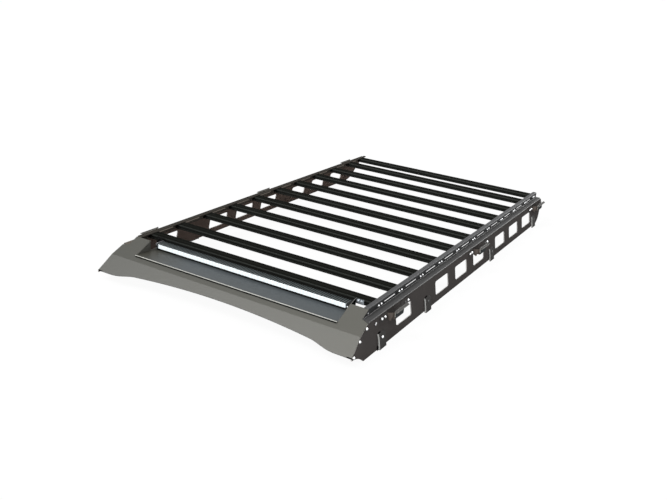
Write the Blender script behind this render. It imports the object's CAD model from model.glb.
# %% [markdown]
# # A full-length roof rack
# The rack is a bolted frame of folded plate: two side rails, eleven slotted crossbars, a wind
# fairing with a slim light bar in its recess, and the brackets that carry it. The frame comes in
# from its own source, so this file only dresses it: camera, light, finishes, bolts and small trim.

import math

import bmesh
import bpy
from mathutils import Matrix, Vector


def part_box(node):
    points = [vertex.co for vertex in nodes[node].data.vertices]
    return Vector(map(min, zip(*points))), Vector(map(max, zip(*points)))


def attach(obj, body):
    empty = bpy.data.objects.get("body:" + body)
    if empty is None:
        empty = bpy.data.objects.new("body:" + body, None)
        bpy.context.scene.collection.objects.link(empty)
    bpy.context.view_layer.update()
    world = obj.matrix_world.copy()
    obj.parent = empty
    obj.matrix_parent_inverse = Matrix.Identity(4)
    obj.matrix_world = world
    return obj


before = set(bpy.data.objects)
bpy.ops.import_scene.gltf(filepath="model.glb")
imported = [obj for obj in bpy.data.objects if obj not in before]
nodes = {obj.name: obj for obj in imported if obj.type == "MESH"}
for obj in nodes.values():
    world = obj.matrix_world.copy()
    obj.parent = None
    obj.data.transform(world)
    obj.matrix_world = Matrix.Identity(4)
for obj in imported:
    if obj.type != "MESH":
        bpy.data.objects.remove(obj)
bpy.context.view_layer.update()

# %% [markdown]
# ## The camera
# The picture was taken from the front right corner, a little above the rack. Its direction and
# distance were worked out from the crossbars, which are level, parallel and evenly spaced. A camera
# can be aimed with an empty and a constraint, but three axes written out are exact and stay put.

# %% The camera
view_right = Vector((0.85487, 0.51372, 0.07210))
view_ahead = Vector((-0.45971, 0.81413, -0.35477))
view_back = -view_ahead.normalized()
view_up = view_back.cross(view_right).normalized()
view_right = view_up.cross(view_back)

camera = bpy.data.objects.new("camera", bpy.data.cameras.new("camera"))
camera.data.sensor_width = 36
camera.data.lens = 42.166
camera.data.clip_end = 300
camera.matrix_world = Matrix.Translation((1.9951, -3.766, 1.575)) @ Matrix(
    (view_right, view_up, view_back)).transposed().to_4x4()
bpy.context.scene.collection.objects.link(camera)
bpy.context.scene.camera = camera
bpy.context.scene.view_settings.view_transform = "Standard"
print("lens", round(camera.data.lens, 2), "mm")

# %% [markdown]
# ## Node trees from Python
# A finish is a small network of nodes, and so is a rule that makes bolts or edge beads. Written node
# by node they take pages, so one class wraps a socket and turns Python's operators into Math nodes,
# and one method makes every other node. Materials, the world and Geometry Nodes all share them.

# %% Sockets that take part in arithmetic
class Signal:
    """A socket that can be added, multiplied and compared."""

    def __init__(self, net, socket):
        self.net, self.socket = net, socket

    def math(self, operation, *values):
        return self.net.node("ShaderNodeMath", dict(enumerate(values)), operation=operation)

    def __add__(self, other):
        return self.math("ADD", self, other)

    def __sub__(self, other):
        return self.math("SUBTRACT", self, other)

    def __rsub__(self, other):
        return self.math("SUBTRACT", other, self)

    def __mul__(self, other):
        return self.math("MULTIPLY", self, other)

    def __truediv__(self, other):
        return self.math("DIVIDE", self, other)

    def __gt__(self, other):
        return self.math("GREATER_THAN", self, other)

    def __abs__(self):
        return self.math("ABSOLUTE", self)

    def clamped(self):
        return self.net.node("ShaderNodeClamp", {0: self})

    __radd__, __rmul__ = __add__, __mul__


class Net:
    """A node tree that is written in Python."""

    def __init__(self, tree):
        self.tree = tree
        self.tree.nodes.clear()

    def node(self, kind, values=None, out=0, stops=None, **settings):
        made = self.tree.nodes.new(kind)
        for name, value in settings.items():
            setattr(made, name, value)
        if stops:
            ramp = made.color_ramp.elements
            for stop in stops[2:]:
                ramp.new(stop[0])
            for element, (position, colour) in zip(ramp, stops):
                element.position, element.color = position, (*colour, 1)
        for name, value in (values or {}).items():
            for one in value if isinstance(value, list) else [value]:
                if isinstance(one, Signal):
                    self.tree.links.new(one.socket, made.inputs[name])
                else:
                    made.inputs[name].default_value = one
        return Signal(self, made.outputs[out]) if len(made.outputs) else made


def painted(owner):
    """The empty tree of a material or a world."""
    owner.use_nodes = True
    return Net(owner.node_tree)


print("tree helpers ready")

# %% [markdown]
# ## Light and floor
# The rack stands in a white studio. Folded plate is judged by how each of its faces catches the
# light, so the light comes from a few wide soft lamps at known bearings: low and high from the
# front, high from the left and the right, and one low from behind that slides along the top of the
# rails. Suns are used because their light is even over the whole length of the rack. The world only
# shows as white to the camera and in reflections, and the floor is a pale disc that keeps the soft
# shadow and is lifted to white where it is seen directly.

# %% The world
def seen_directly(net):
    path = lambda name: net.node("ShaderNodeLightPath", out=name)
    return path("Is Camera Ray") + path("Is Glossy Ray") + path("Is Transmission Ray")


world = bpy.data.worlds.new("studio")
bpy.context.scene.world = world
air = painted(world)
AMBIENT = 0.10
strength = seen_directly(air) * (1 - AMBIENT) + AMBIENT
sky = air.node("ShaderNodeBackground", {"Color": (1, 1, 1, 1), "Strength": strength})
air.node("ShaderNodeOutputWorld", {"Surface": sky})
print("world ready, ambient", AMBIENT)

# %% The lamps
SOFTNESS = 25


def soft_sun(name, bearing, height, strength, colour=(1, 1, 1)):
    """A wide sun. Bearing 0 is straight ahead of the rack, 90 its right side."""
    lamp = bpy.data.objects.new(name, bpy.data.lights.new(name, "SUN"))
    lamp.data.energy, lamp.data.angle = strength, math.radians(SOFTNESS)
    lamp.data.color = colour
    b, h = math.radians(bearing), math.radians(height)
    towards = Vector((math.sin(b) * math.cos(h), -math.cos(b) * math.cos(h), math.sin(h)))
    lamp.rotation_euler = towards.to_track_quat("Z", "Y").to_euler()
    bpy.context.scene.collection.objects.link(lamp)
    print(f"{name}: bearing {bearing}, height {height}, strength {strength}")


soft_sun("front_low", 0, 15, 1.52)
soft_sun("left_high", -45, 50, 2.12)
soft_sun("right_high", 45, 50, 0.82)
soft_sun("side_high", 90, 50, 0.22)
soft_sun("overhead", 0, 90, 0.63)
soft_sun("back_low", 163, 18, 1.20)

# %% The floor
def mesh_object(name, build):
    mesh = bpy.data.meshes.new(name)
    bm = bmesh.new()
    build(bm)
    bm.to_mesh(mesh)
    bm.free()
    made = bpy.data.objects.new(name, mesh)
    bpy.context.scene.collection.objects.link(made)
    return made


FLOOR_LOW = -0.0004
floor = mesh_object("floor", lambda bm: bmesh.ops.create_circle(
    bm, cap_ends=True, segments=64, radius=60, matrix=Matrix.Translation((0, 0, FLOOR_LOW))))
floor_paint = bpy.data.materials.new("floor_white")
net = painted(floor_paint)
lift = seen_directly(net) * 0.94
paint = net.node("ShaderNodeBsdfDiffuse", {"Color": (0.93, 0.93, 0.93, 1)})
glow = net.node("ShaderNodeEmission", {"Color": (1, 1, 1, 1), "Strength": 1.0})
net.node("ShaderNodeOutputMaterial", {"Surface": net.node(
    "ShaderNodeMixShader", {0: lift, 1: paint, 2: glow})})
floor.data.materials.append(floor_paint)
print("floor ready")

# %% [markdown]
# ## Where things sit
# Nothing is placed by eye. The rack's main edges are read from the frame's own boxes, and one
# function turns a place on the leaning side plate into a point of the rack: how far along, how far
# down the slope from the rail, and how far out of the plate's outer face.

# %% Edges of the frame
MM = 0.001
SIDES = {"left": -1, "right": 1}
PLATE = 4.8 * MM
SHEET = 3 * MM
TILT = math.radians(10)
rail_low, rail_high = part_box("side_rail_right")
ledge_edge = rail_high.x
ledge_top = rail_low.z + PLATE
web_face = ledge_edge - 33.5 * MM
flange_edge = rail_low.x
rail_top = rail_high.z
rack_rear = rail_high.y
rack_front = rack_rear - 2.564
bars = sorted(name for name in nodes if name.startswith("crossbar"))
bar_y = [(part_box(name)[0].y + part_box(name)[1].y) / 2 for name in bars]
bar_low, bar_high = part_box(bars[0])
bar_core = (bar_low.z + bar_high.z) / 2
outward = {side: Vector((s * math.cos(TILT), 0, math.sin(TILT))) for side, s in SIDES.items()}


def on_plate(side, y, drop, out=0.0):
    """A point on a side plate, by its place along the rack and its drop down the slope."""
    edge = Vector((SIDES[side] * ledge_edge, y, ledge_top))
    slope = Vector((SIDES[side] * math.sin(TILT), 0, -math.cos(TILT)))
    return edge + slope * drop + outward[side] * out


print(f"rail from {rack_front:.3f} to {rack_rear:.3f}, {len(bars)} bars, web at {web_face:.4f}")

# %% [markdown]
# ## Finishes
# Folded sheet like this is powder coated: a satin skin with a very fine pebble, which spreads its
# reflections. The crossbars are extruded aluminium with a black anodised skin, whose only texture
# is the faint lines that the die draws along the bar. Each finish is one function with the paint's
# own values, so that a colour can be changed in one place.

# %% Powder coat
def surface(net, **values):
    """A Principled surface. Keys are socket names with _ for a space."""
    named = {key.replace("_", " "): value for key, value in values.items()}
    skin = net.node("ShaderNodeBsdfPrincipled", named)
    net.node("ShaderNodeOutputMaterial", {"Surface": skin})


def tinted(colour, factor):
    return [min(1, factor * c) for c in colour]


def mottled(net, pattern, colour, spread=0.07, low=0.3, high=0.7):
    """The colour, a little darker where the pattern is low and lighter where it is high."""
    return net.node("ShaderNodeValToRGB", {0: pattern}, stops=[
        (low, tinted(colour, 1 - spread)), (high, tinted(colour, 1 + spread))])


def layered(net, place, paint, colour, overlays):
    """The colour, and the colour of each overlay where the overlay's rule says 1."""
    x, y, z = (net.node("ShaderNodeSeparateXYZ", {0: place}, out=i) for i in range(3))
    tone = paint(colour)
    for second, where in overlays:
        tone = net.node("ShaderNodeMix", {0: where(x, y, z), 6: tone, 7: paint(second)},
                        out=2, data_type="RGBA")
    return tone


def powder_coat(name, colour, roughness, gloss, *overlays):
    """gloss is the specular level: 0.5 is ordinary paint, 0 is dead matt. An overlay is a
    colour and a rule that gives 1 or 0 for a place's x, y and z."""
    material = bpy.data.materials.new(name)
    net = painted(material)
    place = net.node("ShaderNodeTexCoord", out="Object")
    cloud = net.node("ShaderNodeTexNoise", {"Vector": place, "Scale": 5.0, "Detail": 3.0})
    grain = net.node("ShaderNodeTexNoise", {"Vector": place, "Scale": 420.0, "Detail": 2.0})
    pattern = cloud * 0.6 + grain * 0.4
    tone = layered(net, place, lambda c: mottled(net, pattern, c), colour, overlays)
    bump = net.node("ShaderNodeBump", {"Height": grain, "Strength": 0.25, "Distance": 0.0002})
    surface(net, Base_Color=tone, Roughness=cloud * 0.08 + (roughness - 0.04), Normal=bump,
            Specular_IOR_Level=gloss)
    print(f"{name}: colour {colour}, roughness {roughness}, gloss {gloss}")
    return material


# %% Anodised extrusion
def anodised(name, colour, roughness, gloss, *overlays):
    material = bpy.data.materials.new(name)
    net = painted(material)
    place = net.node("ShaderNodeTexCoord", out="Object")
    along = net.node("ShaderNodeMapping", {"Vector": place, "Scale": (2.0, 700.0, 700.0)})
    lines = net.node("ShaderNodeTexNoise", {"Vector": along, "Scale": 1.0, "Detail": 3.0})
    drawn = lambda c: mottled(net, lines, c, 0.2, 0.35, 0.65)
    tone = layered(net, place, drawn, colour, overlays)
    bump = net.node("ShaderNodeBump", {"Height": lines, "Strength": 0.2, "Distance": 0.0001})
    surface(net, Base_Color=tone, Roughness=lines * 0.1 + (roughness - 0.05), Normal=bump,
            Specular_IOR_Level=gloss)
    print(f"{name}: colour {colour}, roughness {roughness}, gloss {gloss}")
    return material


# %% [markdown]
# ## Lens, zinc and rubber
# The light bar's lens is a frosted strip over a row of diodes. It is nearly white and glows a little,
# a shade bluer in front of each diode. Bolts and the light bar's feet are zinc plated, which is
# metal with a cloudy, slightly blue skin. Pads under the feet are black rubber, dull and dusty.

# %% Lens
DIODE_PITCH = 0.0285


def frosted_lens(name, glow_top):
    """Below the height glow_top the diodes shine through, above it the lens is only frosted."""
    material = bpy.data.materials.new(name)
    net = painted(material)
    place = net.node("ShaderNodeTexCoord", out="Object")
    spread = net.node("ShaderNodeMapping", {"Vector": place, "Scale": (1 / DIODE_PITCH, 0, 0)})
    cells = net.node("ShaderNodeTexWave", {"Vector": spread, "Scale": 0.5},
                     out="Fac", bands_direction="X")
    frost = net.node("ShaderNodeTexNoise", {"Vector": place, "Scale": 300.0, "Detail": 1.0})
    height = net.node("ShaderNodeSeparateXYZ", {0: place}, out=2)
    tone = net.node("ShaderNodeValToRGB", {0: cells}, stops=[
        (0.0, (0.76, 0.83, 0.87)), (1.0, (0.86, 0.90, 0.91))])
    glow = net.node("ShaderNodeMix", {0: height > glow_top, 6: (0.85, 0.95, 1, 1),
                                      7: (0, 0, 0, 1)}, out=2, data_type="RGBA")
    bump = net.node("ShaderNodeBump", {"Height": frost, "Strength": 0.1, "Distance": 0.0002})
    surface(net, Base_Color=tone, Roughness=frost * 0.1 + 0.25, Normal=bump,
            Emission_Color=glow, Emission_Strength=0.12)
    return material


# %% Zinc plating
def zinc(name, colour, roughness):
    material = bpy.data.materials.new(name)
    net = painted(material)
    place = net.node("ShaderNodeTexCoord", out="Object")
    spangle = net.node("ShaderNodeTexVoronoi", {"Vector": place, "Scale": 260.0})
    tone = net.node("ShaderNodeValToRGB", {0: spangle}, stops=[
        (0.0, tinted(colour, 0.9)), (0.8, colour)])
    surface(net, Base_Color=tone, Metallic=1.0, Roughness=spangle * 0.12 + roughness)
    return material


# %% Rubber
def rubber(name, colour):
    material = bpy.data.materials.new(name)
    net = painted(material)
    place = net.node("ShaderNodeTexCoord", out="Object")
    dust = net.node("ShaderNodeTexNoise", {"Vector": place, "Scale": 60.0, "Detail": 4.0})
    tone = net.node("ShaderNodeValToRGB", {0: dust}, stops=[
        (0.4, colour), (0.8, tinted(colour, 1.6))])
    bump = net.node("ShaderNodeBump", {"Height": dust, "Strength": 0.3, "Distance": 0.0003})
    surface(net, Base_Color=tone, Roughness=dust * 0.2 + 0.7, Normal=bump,
            Specular_IOR_Level=0.0)
    return material


# %% [markdown]
# ## The light bar's own brackets
# The strap beside the light bar is black, and the right one's foot on the front crossbar is bare
# zinc. Both are one folded piece, so one finish holds a paint and a metal, and a Mix Shader changes
# from the one to the other where the foot begins.

# %% Half painted, half zinc
def dipped(name, edge, colour, bare):
    """Paint inboard of the distance edge from the rack's middle, zinc beyond it."""
    material = bpy.data.materials.new(name)
    net = painted(material)
    place = net.node("ShaderNodeTexCoord", out="Object")
    across = net.node("ShaderNodeSeparateXYZ", {0: place})
    grain = net.node("ShaderNodeTexNoise", {"Vector": place, "Scale": 300.0, "Detail": 2.0})
    paint = net.node("ShaderNodeBsdfPrincipled", {
        "Base Color": mottled(net, grain, colour), "Roughness": grain * 0.1 + 0.4,
        "Specular IOR Level": 0.0})
    metal = net.node("ShaderNodeBsdfPrincipled", {
        "Base Color": mottled(net, grain, bare), "Roughness": grain * 0.1 + 0.3,
        "Metallic": 1.0})
    net.node("ShaderNodeOutputMaterial", {"Surface": net.node(
        "ShaderNodeMixShader", {0: across > edge, 1: paint, 2: metal})})
    return material


# %% Where a second tone shows
WALL_OUT, WALL_Z = 40 * MM, 150 * MM
WALL_LEAN = 0.116
lens_low, lens_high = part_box("light_bar_lens")


def bar_tops(x, y, z):
    """1 on the crossbars' top faces."""
    return z > bar_high.z - 0.05 * MM


def bar_lips(x, y, z):
    """1 on the upper strip of the crossbars' front and rear faces, which is rubbed paler."""
    half = (bar_high.y - bar_low.y) / 2
    sides = sum((0.2 * MM - abs(abs(y - centre) - half)) > 0 for centre in bar_y)
    return sides * (z > bar_high.z - 4.5 * MM)


def out_of_plate(x, z):
    """Distance out of a side plate's outer face, below 0 within the plate."""
    return (abs(x) - ledge_edge) * math.cos(TILT) + (z - ledge_top) * math.sin(TILT)


def inside_plate(x, y, z):
    """1 on a side plate's inner face."""
    return (-PLATE / 2 - out_of_plate(x, z)) > 0


def cut_edge(x, y, z):
    """1 on the narrow faces of a side plate, such as those of its windows."""
    return (PLATE / 2 - 0.2 * MM - abs(out_of_plate(x, z) + PLATE / 2)) > 0


def on_web(x, y, z):
    """1 on a rail's upright web and its bends."""
    return (z > ledge_top + 1.5 * MM) * ((rail_top - 1.3 * MM - z) > 0)


def on_ledge(x, y, z):
    """1 on a rail's lower flange, which shows through the slots of its web."""
    return abs(x) > web_face + 1 * MM


def web_end(x, y, z):
    """1 on the last stretch of a rail's web."""
    return on_web(x, y, z) * (y > rack_rear - 30 * MM)


def top_bend(x, y, z):
    """1 on the upright part of a rail's top bend."""
    return z > rail_top - 8 * MM


def shoulder(x, y, z):
    """1 where a rail's top bend turns level."""
    return z > rail_top - 2.2 * MM


def on_top(x, y, z):
    """1 on a rail's top flange."""
    return z > rail_top - 0.1 * MM


def inside_wall(x, y, z):
    """1 on the inner face of a side bracket's leaning wall."""
    wall = ledge_edge + WALL_OUT + (WALL_Z - z) * WALL_LEAN
    past_ears = abs(x) > ledge_edge + WALL_OUT - 3.5 * MM
    return ((wall - abs(x)) > 0) * past_ears * (z > WALL_Z - 25 * MM)


def outside_wall(x, y, z):
    """1 on the outer face of a side bracket's leaning wall."""
    wall = ledge_edge + WALL_OUT + (WALL_Z - z) * WALL_LEAN
    return (abs(x) - wall) > 0


def on_ears(x, y, z):
    """1 on a side bracket's ears, which lie on the side plate."""
    return (SHEET + 0.5 * MM - out_of_plate(x, z)) > 0


def on_lip(x, y, z):
    """1 on the lip of a side bracket's wall."""
    return (abs(x) > ledge_edge + WALL_OUT + 1.5 * MM) * (z > WALL_Z - 8.5 * MM)


def rightwards(x, y, z):
    """From 0 at the rack's left side to 1 at its right."""
    return ((x + ledge_edge) / (2 * ledge_edge)).clamped()


def past_the_corner(x, y, z):
    """From 0 at the tray's left end to 1 a little way in."""
    return ((x + 0.56) / 0.25).clamped()


def tray_end(x, y, z):
    """1 on the tray's end walls."""
    return abs(x) > 0.5715


def lamp_brow(x, y, z):
    """1 on the slope above the lens."""
    return ((lens_high.y + 3.5 * MM - y) > 0) * (z > lens_high.z)


def under_lens(x, y, z):
    """1 on the light bar's face below the lens."""
    return ((lens_high.y + 2.5 * MM - y) > 0) * ((lens_low.z - z) > 0)


# %% The finishes on the frame's parts
finishes = {
    "side_rail_right": powder_coat("rail_coat", (0.058, 0.058, 0.058), 0.32, 0.02,
                                   ((0.042, 0.043, 0.044), on_web),
                                   ((0.029, 0.030, 0.031), top_bend),
                                   ((0.010, 0.010, 0.010), web_end),
                                   ((0.100, 0.101, 0.103), shoulder),
                                   ((0.074, 0.075, 0.077), on_top)),
    "side_rail_left": powder_coat("rail_coat_matt", (0.043, 0.040, 0.035), 0.45, 0.0,
                                  ((0.068, 0.059, 0.051), on_web),
                                  ((0.120, 0.105, 0.090), on_ledge)),
    "side_plate": powder_coat("plate_coat", (0.059, 0.054, 0.052), 0.45, 0.0,
                              ((0.103, 0.078, 0.067), inside_plate),
                              ((0.45, 0.44, 0.43), cut_edge)),
    "crossbar": anodised("bar_anodising", (0.0140, 0.0148, 0.0134), 0.45, 0.0,
                         ((0.034, 0.037, 0.034), bar_lips),
                         ((0.0108, 0.0113, 0.0098), bar_tops)),
    "wind_fairing": powder_coat("fairing_coat", (0.030, 0.030, 0.023), 0.45, 0.5,
                                ((0.058, 0.057, 0.047), rightwards)),
    "light_bar_tray": powder_coat("tray_coat", (0.045, 0.044, 0.036), 0.35, 0.12,
                                  ((0.058, 0.066, 0.070), past_the_corner),
                                  ((0.100, 0.099, 0.088), tray_end)),
    "light_bar_housing": powder_coat("lamp_body_coat", (0.038, 0.048, 0.050), 0.45, 0.38,
                                     ((0.060, 0.076, 0.076), lamp_brow),
                                     ((0.012, 0.015, 0.016), under_lens)),
    "light_bar_lens": frosted_lens("lens_frost", lens_high.z - 3.6 * MM),
    "light_bar_end_left": powder_coat("lamp_end_grey", (0.08, 0.083, 0.088), 0.5, 0.1),
    "light_bar_end_right": powder_coat("lamp_end_dark", (0.020, 0.021, 0.022), 0.5, 0.05),
    "light_bar_bracket": dipped("lamp_bracket_finish", 0.5585, (0.010, 0.010, 0.010),
                                (0.54, 0.59, 0.63)),
    "side_bracket": powder_coat("bracket_coat", (0.080, 0.068, 0.060), 0.45, 0.0,
                                ((0.055, 0.052, 0.050), on_ears),
                                ((0.45, 0.44, 0.40), inside_wall),
                                ((0.040, 0.044, 0.045), outside_wall),
                                ((0.105, 0.103, 0.098), on_lip)),
    "foot_bracket": powder_coat("foot_coat", (0.0505, 0.049, 0.047), 0.45, 0.01),
}
for name, part in nodes.items():
    key = max((k for k in finishes if name.startswith(k)), key=len)
    for slot in part.material_slots:
        slot.material = finishes[key]
print(f"{len(finishes)} finishes on {len(nodes)} parts")

# %% Finishes of the small pieces
bright_zinc = zinc("bright_zinc", (0.90, 0.91, 0.92), 0.25)
dull_zinc = zinc("dull_zinc", (0.50, 0.52, 0.54), 0.35)
black_steel = zinc("black_steel", (0.10, 0.10, 0.10), 0.4)
black_rubber = rubber("black_rubber", (0.004, 0.004, 0.004))
bend_coat = powder_coat("bend_coat", (0.092, 0.092, 0.092), 0.35, 0.2)
matt_bend = powder_coat("matt_bend", (0.045, 0.041, 0.036), 0.45, 0.0)
web_bend = powder_coat("web_bend", (0.13, 0.13, 0.13), 0.35, 0.2)
pale_bend = powder_coat("pale_bend", (0.17, 0.17, 0.165), 0.35, 0.2)
lip_coat = powder_coat("lip_coat", (0.105, 0.103, 0.098), 0.4, 0.1)
foot_edge_coat = powder_coat("foot_edge_coat", (0.36, 0.36, 0.35), 0.35, 0.2)
nut_coat = powder_coat("nut_coat", (0.085, 0.066, 0.057), 0.5, 0.0)
black_paint = powder_coat("black_paint", (0.012, 0.012, 0.012), 0.5, 0.0)
hem_coat = powder_coat("hem_coat", (0.085, 0.085, 0.079), 0.4, 0.4)
lip_trim = powder_coat("lip_trim", (0.38, 0.38, 0.35), 0.35, 0.5)
print("small finishes ready")

# %% [markdown]
# ## Trees that make small parts
# What repeats is made by Geometry Nodes. A tree gets a mesh of bare points, each with the direction
# it faces, and its sizes as named inputs. It builds one bolt from simple solids, stands a copy on
# every point, and turns each copy by a random angle, because no one lines up hexagon sockets.
# Modelling each bolt by hand would give the same mesh, but not one place to change them all.

# %% Running a tree on a mesh
def geometry_tree(name, inputs):
    """A Geometry Nodes tree with named inputs, and its sockets by name."""
    tree = bpy.data.node_groups.new(name, "GeometryNodeTree")
    net = Net(tree)
    tree.interface.new_socket("Geometry", in_out="INPUT", socket_type="NodeSocketGeometry")
    tree.interface.new_socket("Geometry", in_out="OUTPUT", socket_type="NodeSocketGeometry")
    for label, kind in inputs.items():
        tree.interface.new_socket(label, in_out="INPUT", socket_type=f"NodeSocket{kind}")
    entry = tree.nodes.new("NodeGroupInput")
    return net, {socket.name: Signal(net, socket) for socket in entry.outputs if socket.name}


def finished(net, geometry, material):
    """Ends a tree: real geometry instead of instances, and one finish."""
    real = net.node("GeometryNodeRealizeInstances", {0: geometry})
    coated = net.node("GeometryNodeSetMaterial", {"Geometry": real, "Material": material})
    net.tree.links.new(coated.socket, net.tree.nodes.new("NodeGroupOutput").inputs[0])


def grown(name, mesh, net, sizes):
    """Runs a tree on a mesh and keeps the result as a plain mesh on the rack."""
    piece = bpy.data.objects.new(name, mesh)
    bpy.context.scene.collection.objects.link(piece)
    modifier = piece.modifiers.new("tree", "NODES")
    modifier.node_group = net.tree
    for item in net.tree.interface.items_tree:
        if item.in_out == "INPUT" and item.name in sizes:
            modifier[item.identifier] = sizes[item.name]
    ready = piece.evaluated_get(bpy.context.evaluated_depsgraph_get())
    result = bpy.data.meshes.new_from_object(ready)
    piece.modifiers.clear()
    piece.data = result
    piece.data.name = name
    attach(piece, "root")
    print(f"{name}: {len(piece.data.polygons)} faces")
    return piece


# %% A row of points that face a way
def facing_points(name, places):
    """A mesh of points. places holds pairs of a point and the direction it faces."""
    mesh = bpy.data.meshes.new(name)
    mesh.from_pydata([tuple(point) for point, _ in places], [], [])
    facing = mesh.attributes.new("facing", "FLOAT_VECTOR", "POINT")
    facing.data.foreach_set("vector", [c for _, direction in places for c in direction])
    return mesh


def planted(net, points, shape, seed):
    """A copy of the shape on every point, its Z turned to the facing and spun at random."""
    facing = net.node("GeometryNodeInputNamedAttribute", {"Name": "facing"},
                      data_type="FLOAT_VECTOR")
    upright = net.node("FunctionNodeAlignRotationToVector", {"Vector": facing}, axis="Z")
    angle = net.node("FunctionNodeRandomValue", {2: 0.0, 3: math.tau, "Seed": seed}, out=1)
    spin = net.node("FunctionNodeAxisAngleToRotation", {"Axis": (0, 0, 1), "Angle": angle})
    turned = net.node("FunctionNodeRotateRotation", {0: upright, 1: spin}, rotation_space="LOCAL")
    return net.node("GeometryNodeInstanceOnPoints", {
        "Points": points, "Instance": shape, "Rotation": turned})


# %% Solids for the trees
def cone(net, low_radius, high_radius, bottom, height, sides=20):
    """A cone frustum whose base is at the height bottom."""
    solid = net.node("GeometryNodeMeshCone", {
        "Vertices": sides, "Radius Bottom": low_radius, "Radius Top": high_radius,
        "Depth": height})
    lifted = net.node("ShaderNodeCombineXYZ", {"Z": bottom})
    return net.node("GeometryNodeTransform", {"Geometry": solid, "Translation": lifted})


def boolean(net, operation, first, second):
    parts = {1: [first, second]} if operation == "UNION" else {0: first, 1: second}
    return net.node("GeometryNodeMeshBoolean", parts, operation=operation)


def joined(net, *parts):
    return net.node("GeometryNodeJoinGeometry", {0: list(parts)})


print("tree tools ready")

# %% [markdown]
# ## Bolts
# The rails and plates are held by button head bolts with a hexagon socket, on a washer. They are
# zinc plated and stand out as bright dots on the dark plates. The head is two cone frustums, one on
# the other, which is enough to round it at this size, and the socket is cut out with a Boolean.

# %% The bolt tree
bolt_net, size = geometry_tree("button_bolt", {
    "Head Radius": "Float", "Head Height": "Float", "Washer": "Float", "Finish": "Material",
    "Seed": "Int"})
radius, height, washer = size["Head Radius"], size["Head Height"], size["Washer"]
plate_ring = cone(bolt_net, radius * 1.2, radius * 1.16, 0.0, washer)
lower = cone(bolt_net, radius, radius * 0.87, washer, height * 0.5)
upper = cone(bolt_net, radius * 0.87, radius * 0.5, washer + height * 0.5, height * 0.5)
socket = cone(bolt_net, radius * 0.46, radius * 0.46, washer + height * 0.35, height, 6)
head = boolean(bolt_net, "DIFFERENCE", boolean(bolt_net, "UNION", lower, upper), socket)
bolt = joined(bolt_net, plate_ring, head)
finished(bolt_net, planted(bolt_net, size["Geometry"], bolt, size["Seed"]), size["Finish"])

# %% Bolts through the rails
M6 = {"Head Radius": 4.8 * MM, "Head Height": 3.3 * MM, "Washer": 1.0 * MM, "Seed": 6,
      "Finish": bright_zinc}
M8 = {"Head Radius": 5.6 * MM, "Head Height": 4.2 * MM, "Washer": 1.2 * MM, "Seed": 8,
      "Finish": bright_zinc}
M8_BLACK = {**M8, "Finish": black_steel}
core = (bar_high.y - bar_low.y) / 4
for side, s in SIDES.items():
    rail_bolts = [(Vector((s * web_face, y + shift, bar_core)), Vector((s, 0, 0)))
                  for y in bar_y for shift in (-core, core)]
    grown(f"rail_bolts_{side}", facing_points("rail_bolts", rail_bolts), bolt_net, M6)

# %% Bolts through the side plates
ear_start = [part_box(f"side_bracket_right_{name}")[0].y for name in ("front", "middle", "rear")]
EAR_DROP = 25 * MM
FRONT_EAR, REAR_EAR = (20, 49), (248, 276)
LAST_HOLE = rack_rear - 8 * MM
fairing_bolts = [(140, 22), (76, 55), (20, 103)]
foot_boxes = [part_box(f"foot_bracket_right_{i}") for i in (1, 2, 3, 4)]
foot_y = [(low.y + high.y) / 2 for low, high in foot_boxes]
FOOT_TOP, FOOT_OUT, FOOT_DROP = 78 * MM, 6 * MM, 102 * MM


def ear_bolts(side, places):
    """Bolts on the ears of the side brackets that reach far enough back."""
    return [(on_plate(side, y + along * MM, EAR_DROP, SHEET), PLATE + SHEET)
            for y in ear_start for along in places if y + along * MM < LAST_HOLE]


def nose_bolts(side):
    return [(on_plate(side, rack_front + y * MM, drop * MM), PLATE + SHEET)
            for y, drop in fairing_bolts]


def foot_bolts(side):
    return [(on_plate(side, y, FOOT_DROP, FOOT_OUT), PLATE + FOOT_OUT) for y in foot_y]


def bolt_row(name, side, places, sizes):
    """Bolt heads on the plate's outer side. places are pairs of a point and the depth behind."""
    heads = [(place, outward[side]) for place, _ in places]
    grown(f"{name}_{side}", facing_points(name, heads), bolt_net, sizes)


for side in SIDES:
    feet = foot_bolts(side)
    bolt_row("plate_bolts", side,
             ear_bolts(side, FRONT_EAR + REAR_EAR[1:]) + nose_bolts(side) + feet[:1], M8)
    bolt_row("black_bolts", side, ear_bolts(side, REAR_EAR[:1]) + feet[1:], M8_BLACK)

# %% Small screws and inserts at the front
HOLE_SCREW = {"Head Radius": 3.4 * MM, "Head Height": 1.6 * MM, "Washer": 0.4 * MM, "Seed": 2,
              "Finish": bright_zinc}
INSERT = (218 * MM, 27.5 * MM)
for side, s in SIDES.items():
    hole = Vector((s * (web_face - 1 * MM), rack_front + 215 * MM, rail_top - 21.3 * MM))
    grown(f"rail_screw_{side}", facing_points("rail_screw", [(hole, Vector((s, 0, 0)))]),
          bolt_net, HOLE_SCREW)

# %% [markdown]
# ## Nuts
# On the inner side of the plates each bolt ends in a hexagon nut on a washer, with a little thread
# past it. The chamfer on a real nut's corners is what makes it look like a nut, and a hexagon
# prism intersected with a wide low cone gives exactly that.

# %% The nut tree
nut_net, size = geometry_tree("hexagon_nut", {
    "Nut Radius": "Float", "Nut Height": "Float", "Washer": "Float", "Finish": "Material",
    "Seed": "Int"})
radius, height, washer = size["Nut Radius"], size["Nut Height"], size["Washer"]
ring = cone(nut_net, radius * 1.2, radius * 1.2, 0.0, washer)
prism = cone(nut_net, radius, radius, washer, height, 6)
chamfer = cone(nut_net, radius * 1.3, radius * 0.86, washer - height, height * 2, 24)
thread = cone(nut_net, radius * 0.5, radius * 0.42, washer, height * 1.4, 12)
nut = joined(nut_net, ring, boolean(nut_net, "INTERSECT", prism, chamfer), thread)
finished(nut_net, planted(nut_net, size["Geometry"], nut, size["Seed"]), size["Finish"])

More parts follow.
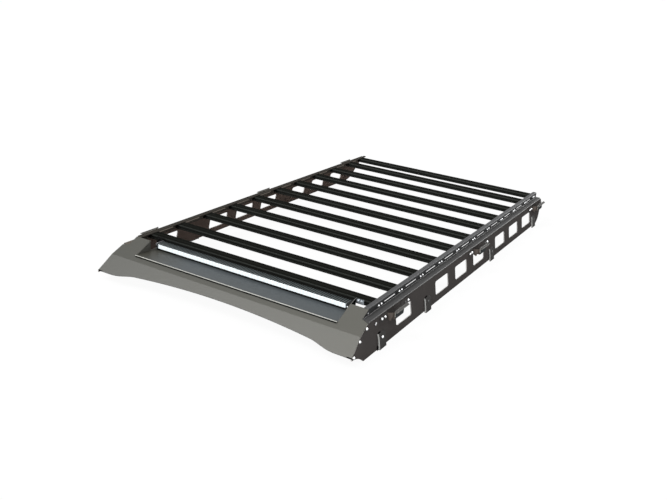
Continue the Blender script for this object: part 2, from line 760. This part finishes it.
# %% Nuts inside the side plates
M8_NUT = {"Nut Radius": 7.4 * MM, "Nut Height": 6.4 * MM, "Washer": 1.4 * MM, "Seed": 3}
NUT_FINISH = {"left": nut_coat, "right": dull_zinc}
for side in SIDES:
    bolted = ear_bolts(side, FRONT_EAR + REAR_EAR) + nose_bolts(side) + foot_bolts(side)
    inner = [(place - outward[side] * depth, -outward[side]) for place, depth in bolted]
    grown(f"plate_nuts_{side}", facing_points("plate_nuts", inner), nut_net,
          {**M8_NUT, "Finish": NUT_FINISH[side]})

# %% The light bar's fasteners
SIDE_FINISH = {"left": black_paint, "right": dull_zinc}
M6_NUT = {"Nut Radius": 5.4 * MM, "Nut Height": 5 * MM, "Washer": 1.0 * MM, "Seed": 5}
M5 = {"Head Radius": 4.2 * MM, "Head Height": 2.8 * MM, "Washer": 0.6 * MM, "Seed": 9}
cap_low, cap_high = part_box("light_bar_end_right")
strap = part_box("light_bar_bracket_right")
foot_face = bar_low.y - SHEET
ahead = Vector((0, -1, 0))
for side, s in SIDES.items():
    feet = [(Vector((s * (strap[0].x + along * MM), foot_face, bar_core)), ahead)
            for along in (15, 31)]
    grown(f"light_bar_nuts_{side}", facing_points("lamp_nuts", feet), nut_net,
          {**M6_NUT, "Finish": SIDE_FINISH[side]})
    pivot = Vector((s * (strap[0].x + SHEET), (cap_low.y + cap_high.y) / 2,
                    (cap_low.z + cap_high.z) / 2))
    front = Vector((s * (cap_low.x + cap_high.x) / 2, cap_low.y, cap_low.z + 16 * MM))
    screws = [(pivot, Vector((s, 0, 0))), (front, ahead)]
    grown(f"light_bar_screws_{side}", facing_points("lamp_screws", screws), bolt_net,
          {**M5, "Finish": SIDE_FINISH[side]})

# %% [markdown]
# ## Rounded edges
# Sheet metal is never sharp: its bends have a radius and its cut edges are rolled over, and these
# catch the light as a thin bright line along the rail and the feet. A bevel on the frame's own parts
# isn't possible, since their shape is fixed. So a slim bead runs along each edge that shows such a
# line: a path of points, turned into a curve and swept with a small circle by one tree.

# %% The bead tree
bead_net, size = geometry_tree("edge_bead", {
    "Radius": "Float", "Sides": "Int", "Finish": "Material"})
path = bead_net.node("GeometryNodeMeshToCurve", {"Mesh": size["Geometry"]})
ring = bead_net.node("GeometryNodeCurvePrimitiveCircle", {
    "Resolution": size["Sides"], "Radius": size["Radius"]})
tube = bead_net.node("GeometryNodeCurveToMesh", {
    "Curve": path, "Profile Curve": ring, "Fill Caps": True})
finished(bead_net, tube, size["Finish"])


def paths(name, lines):
    """A mesh of open lines, each a list of points."""
    mesh = bpy.data.meshes.new(name)
    points = [tuple(point) for line in lines for point in line]
    starts = [sum(len(line) for line in lines[:i]) for i in range(len(lines))]
    edges = [(start + i, start + i + 1) for start, line in zip(starts, lines)
             for i in range(len(line) - 1)]
    mesh.from_pydata(points, edges, [])
    return mesh


def bead(name, lines, radius, finish, sides=8):
    return grown(name, paths(name, lines), bead_net,
                 {"Radius": radius * MM, "Sides": sides, "Finish": finish})


def arc(centre, first, second, steps=6):
    """A quarter turn about centre from the reach first to the reach second."""
    return [centre + first * math.cos(a) + second * math.sin(a)
            for a in (math.pi / 2 * i / steps for i in range(steps + 1))]


# %% Edges and bends of the rails
LEDGE_FRONT = rack_front + 161 * MM
TOP_FRONT = rack_front + 222 * MM
BEND_FRONT = rack_front + 172 * MM
CORNER = 16 * MM
EDGE_FINISH = {"left": matt_bend, "right": bend_coat}
for side, s in SIDES.items():
    mid = ledge_top - 1.5 * MM
    corner = Vector((s * (ledge_edge - CORNER), rack_rear - CORNER, mid))
    ledge = [Vector((s * ledge_edge, LEDGE_FRONT, mid))] + arc(
        corner, Vector((s * CORNER, 0, 0)), Vector((0, CORNER, 0)))
    top = [Vector((s * flange_edge, y, rail_top - PLATE / 2))
           for y in (TOP_FRONT, rack_rear - 22 * MM)]
    bend = [Vector((s * (web_face + 0.9 * MM), y, ledge_top + 0.9 * MM))
            for y in (BEND_FRONT, rack_rear - 3 * MM)]
    bead(f"rail_edges_{side}", [ledge, top], 2.0, EDGE_FINISH[side])
    bead(f"rail_bend_{side}", [bend], 1.5, web_bend)
crest = [Vector((-web_face + 1.2 * MM, y, rail_top - 1.2 * MM))
         for y in (TOP_FRONT, rack_rear - 22 * MM)]
bead("rail_shoulder_left", [crest], 2.4, matt_bend)

# %% Edges of the feet and the side brackets
LIP_OUT, LIP_Z = 48.5 * MM, 144 * MM
for side, s in SIDES.items():
    foot_lines = [[on_plate(side, low.y, drop * MM, out * MM)
                   for drop, out in ((80, 0.5), (92, 3.2), (149, 3.2))] for low, _ in foot_boxes]
    bead(f"foot_bends_{side}", foot_lines, 3.5, foot_edge_coat, 12)
    lips = []
    for y in ear_start:
        for out, z in ((LIP_OUT, LIP_Z), (WALL_OUT, WALL_Z - 1 * MM)):
            lips.append([Vector((s * (ledge_edge + out), y + along * MM, z))
                         for along in (74, 196)])
    bead(f"bracket_bends_{side}", lips, 2.2, lip_coat, 12)

# %% The hem of the fairing
CREASE = (rack_front + 84 * MM, 113 * MM)
LOWER_SLOPE = math.radians(37.5)
ROOF_RADIUS, MIDDLE, END = 4.560, 48.5 * MM, 102 * MM
SHOULDER = (0.500, 0.640)


def hem_drop(x):
    """How far the lower edge lies down the slope below the crease, which follows a car's roof."""
    arch = MIDDLE + x * x / (2 * ROOF_RADIUS)
    k = min(1, max(0, (abs(x) - SHOULDER[0]) / (SHOULDER[1] - SHOULDER[0])))
    blend = k * k * (3 - 2 * k)
    return arch * (1 - blend) + END * blend


def hem_point(x):
    drop = hem_drop(x)
    y, z = CREASE
    half = 1.5 * MM
    return Vector((x, y - drop * math.cos(LOWER_SLOPE) + half * math.sin(LOWER_SLOPE),
                   z - drop * math.sin(LOWER_SLOPE) - half * math.cos(LOWER_SLOPE)))


hem = [hem_point(x * 20 * MM) for x in range(-34, 35)]
bead("fairing_hem", [hem], 1.7, hem_coat)
guards = [[hem_point(s * x * MM) for x in (690, 714)] for s in SIDES.values()]
bead("fairing_edge_guards", guards, 3.0, black_rubber)

# %% [markdown]
# ## The lip of the tray
# The tray's front lip is covered by a slim light trim, the brightest line of the fairing, and a
# black seal closes the gap between it and the fairing's edge.

# %% Trim and seal
tray_low, tray_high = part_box("light_bar_tray")
lip_top = 132 * MM
lip_y = tray_low.y + 1.25 * MM
half = tray_high.x - 3 * MM
bead("tray_lip_trim", [[Vector((x, lip_y, lip_top)) for x in (-half, half)]], 2.0, lip_trim)
bead("tray_seal", [[Vector((x, tray_low.y - 1.5 * MM, lip_top - 4 * MM)) for x in (-half, half)]],
     1.6, black_rubber)

# %% Seal under the lens
lamp_low = lens_low.z - 1.4 * MM
bead("lens_seal", [[Vector((x, lens_high.y - 1 * MM, lamp_low))
                    for x in (lens_low.x - 6 * MM, lens_high.x + 6 * MM)]],
     2.0, black_rubber)

# %% Edge of the light bar's straps
STRAP_EDGE = {"left": black_paint, "right": pale_bend}
for side, s in SIDES.items():
    edge = [Vector((s * (strap[0].x + SHEET), y, z)) for y, z in (
        (foot_face, rail_top - 7 * MM), (lens_high.y + 13 * MM, rail_top - 19 * MM),
        (lens_high.y + 4 * MM, rail_top - 25 * MM), (lens_high.y + 4 * MM, lens_low.z))]
    bead(f"strap_edge_{side}", [edge], 1.1, STRAP_EDGE[side])

# %% Seal under the left strap's foot
SEAL = 4
under_foot = bar_low.z - SEAL * MM
seal_ends = (strap[0].x + 1 * MM, strap[0].x + 47 * MM)
bead("strap_seal", [[Vector((-x, foot_face + 1.5 * MM, under_foot)) for x in seal_ends]], SEAL,
     black_rubber, 12)

# %% [markdown]
# ## Pads behind the feet
# A black rubber sheet lies between the first feet and the side plate and shows as a dark line in
# front of them. It is cut a little larger than the foot, with the corner rounded, so it is drawn as
# an outline on the plate and given a thickness.

# %% Rubber pads
PAD = 1.4 * MM
PAD_EDGE = 5 * MM


def slab(bm, outline, side, thickness):
    """A flat piece on the plate from its outline of (place along the rack, drop) pairs."""
    rings = [[bm.verts.new(on_plate(side, y, drop, out)) for y, drop in outline]
             for out in (0.0, thickness)]
    count = len(outline)
    for i in range(count):
        j = (i + 1) % count
        bm.faces.new([rings[0][i], rings[0][j], rings[1][j], rings[1][i]])
    bm.faces.new(rings[1])
    bm.faces.new(rings[0][::-1])
    bmesh.ops.recalc_face_normals(bm, faces=bm.faces)


def pad_outline(low, high, top, corner):
    """A plate with one rounded upper front corner, from the drop top to the foot's lower end."""
    bottom = 150 * MM
    turn = [(low + corner - corner * math.cos(a), top + corner - corner * math.sin(a))
            for a in (math.pi / 2 * i / 6 for i in range(7))]
    return [(low, bottom)] + turn + [(high, top), (high, bottom)]


def pads(bm, side):
    first, second = foot_boxes[0], foot_boxes[1]
    slab(bm, pad_outline(first[0].y - 17 * MM, first[0].y + 8 * MM, 130 * MM, 2 * MM), side, PAD)
    slab(bm, [(first[0].y + 3 * MM, FOOT_TOP - 5 * MM), (first[0].y + 22 * MM, FOOT_TOP - 5 * MM),
              (first[0].y + 22 * MM, FOOT_TOP + 4 * MM), (first[0].y + 3 * MM, FOOT_TOP + 4 * MM)],
         side, PAD)
    slab(bm, pad_outline(second[0].y - PAD_EDGE, second[0].y + 30 * MM, FOOT_TOP - PAD_EDGE,
                         20 * MM), side, PAD)


def insert(bm, side):
    """A zinc insert in the oblong hole: a bar with round ends, turned as the hole is."""
    half, radius, turn = 4 * MM, 3.7 * MM, math.radians(33)
    outline = []
    for i in range(16):
        a = math.tau * (i + 0.5) / 16
        along = math.copysign(half, math.cos(a)) + radius * math.cos(a)
        up = radius * math.sin(a)
        outline.append((rack_front + INSERT[0] + along * math.cos(turn) - up * math.sin(turn),
                        INSERT[1] - along * math.sin(turn) - up * math.cos(turn)))
    slab(bm, outline, side, 2.0 * MM)


for side in SIDES:
    bar = mesh_object(f"plate_insert_{side}", lambda bm: insert(bm, side))
    bar.data.materials.append(bright_zinc)
    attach(bar, "root")
    pad = mesh_object(f"foot_pads_{side}", lambda bm: pads(bm, side))
    pad.data.materials.append(black_rubber)
    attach(pad, "root")
print("pads ready")
